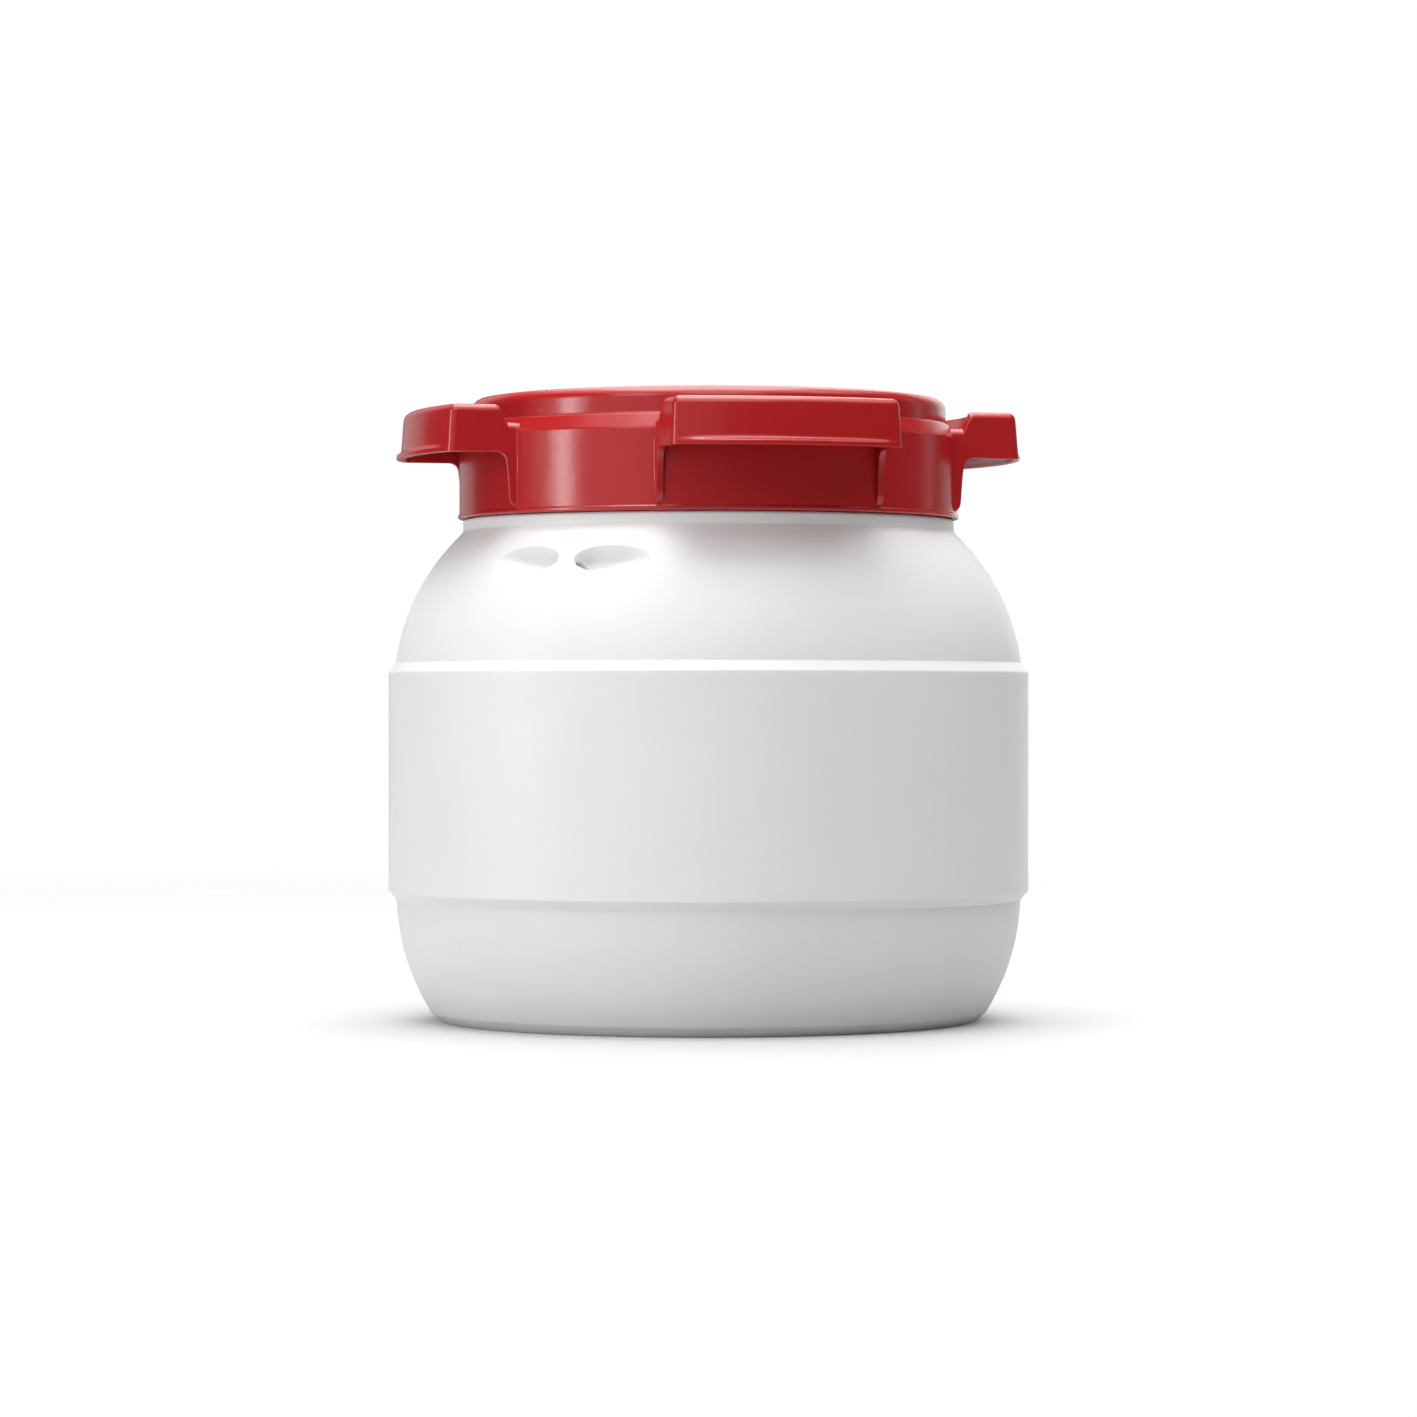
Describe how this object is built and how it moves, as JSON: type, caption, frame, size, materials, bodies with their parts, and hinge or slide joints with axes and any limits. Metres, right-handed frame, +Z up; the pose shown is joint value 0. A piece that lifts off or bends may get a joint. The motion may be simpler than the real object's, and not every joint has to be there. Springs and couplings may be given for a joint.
{
  "type": "paint jar",
  "caption": "Wide-mouth white plastic paint jar with a coarse-threaded red screw lid, hollow grip lugs and a sealing gasket.",
  "frame": {"origin": "middle of the standing ring, on the surface the jar stands on", "axes": "+Z up along the jar's axis, -Y towards the front, where the first grip lug and the seal eye are, +X to the front's right"},
  "size_m": [0.19, 0.19, 0.1841],
  "materials": {
    "white_hdpe": "satin, faintly pebbled blow-moulded HDPE",
    "red_polypropylene": "semi-gloss injection-moulded polypropylene",
    "gasket_rubber": "matt light-grey elastomer"
  },
  "bodies": {
    "jar": {"jar_body": "white_hdpe"},
    "gasket": {"lid_gasket": "gasket_rubber"},
    "lid": {"screw_lid": "red_polypropylene"}
  },
  "joints": [
    {"name": "lid_rise", "type": "slide", "parent": "jar", "child": "gasket", "axis": [0, 0, 1], "range_m": [0, 0.0325]},
    {"name": "lid_turn", "type": "hinge", "parent": "gasket", "child": "lid", "pos_m": [0, 0, 0.18], "axis": [0, 0, 1], "range_deg": [0, 972]}
  ],
  "couplings": [
    {"joint": "lid_rise", "follows": "lid_turn", "m_per_rad": 0.0019099}
  ]
}
